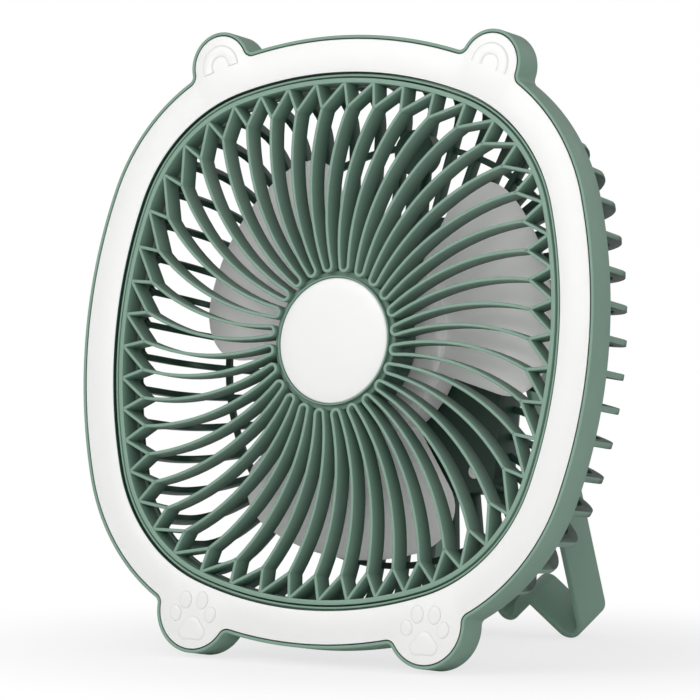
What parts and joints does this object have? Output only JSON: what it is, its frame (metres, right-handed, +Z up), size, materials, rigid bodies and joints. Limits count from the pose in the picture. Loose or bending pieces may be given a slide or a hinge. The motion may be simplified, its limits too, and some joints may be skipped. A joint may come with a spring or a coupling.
{
  "type": "portable camping fan",
  "caption": "Portable rechargeable fan with a rounded-square ring light, ears and paws, spiral grille, slotted rear housing with battery box, and a strap stand that folds and can hang it up.",
  "frame": {"origin": "on the floor, in the middle of the bounding box", "axes": "+X to the fan's left seen by its user (to the right in the front view), +Y to the back, where the stand is, +Z up; the fan leans back 7.94 degrees on its paws and its opened stand"},
  "size_m": [0.206, 0.158, 0.2171],
  "materials": {
    "green_plastic": "fine matt moulded plastic",
    "dark_green_plastic": "fine matt moulded plastic",
    "white_panel": "smooth white diffusing plastic",
    "white_plastic": "smooth white plastic",
    "grey_plastic": "satin light grey plastic",
    "black_plastic": "matt black plastic",
    "clear_plastic": "clear light guide",
    "steel": "plated steel",
    "bronze": "sintered bronze",
    "rubber": "soft black rubber",
    "cell_wrap": "shrink sleeve",
    "board_white": "white solder mask",
    "board_green": "green solder mask",
    "led_yellow": "phosphor over white epoxy"
  },
  "bodies": {
    "fan_body": {"front_bezel": "green_plastic", "light_panel": "white_panel", "led_board": "board_white", "led_chips": "led_yellow", "front_grille": "green_plastic", "hub_cap": "white_panel", "motor_bushes": "bronze", "motor_can": "steel", "motor_end_cap": "black_plastic", "motor_plate": "dark_green_plastic", "motor_screws": "steel", "plate_screws": "steel", "rear_housing": "green_plastic", "housing_screws": "steel", "battery_box": "green_plastic", "box_screws": "steel", "battery_cells": "cell_wrap", "control_board": "board_green", "button_switches": "black_plastic", "usb_port": "steel", "charge_lights": "clear_plastic", "box_cover": "green_plastic", "cover_screws": "steel", "pivot_pins": "steel", "pivot_washers": "rubber"},
    "rotor": {"impeller": "grey_plastic", "motor_shaft": "steel"},
    "stand_body": {"stand": "green_plastic"},
    "speed_key": {"speed_button": "white_plastic"},
    "light_key": {"light_button": "white_plastic"}
  },
  "joints": [
    {"name": "fan_spin", "type": "hinge", "parent": "fan_body", "child": "rotor", "pos_m": [0, -0.03609, 0.10694], "axis": [0, 0.9904, -0.1381], "continuous": true},
    {"name": "stand_hinge", "type": "hinge", "parent": "fan_body", "child": "stand_body", "pos_m": [0, 0.01396, 0.13278], "axis": [1, 0, 0], "range_deg": [-31.5, 148.5]},
    {"name": "speed_press", "type": "slide", "parent": "fan_body", "child": "speed_key", "axis": [0, -0.9904, 0.1381], "range_m": [0, 0.0004], "stiffness_N_per_m": 1500, "springref_m": -0.0006},
    {"name": "light_press", "type": "slide", "parent": "fan_body", "child": "light_key", "axis": [0, -0.9904, 0.1381], "range_m": [0, 0.0004], "stiffness_N_per_m": 1500, "springref_m": -0.0006}
  ]
}
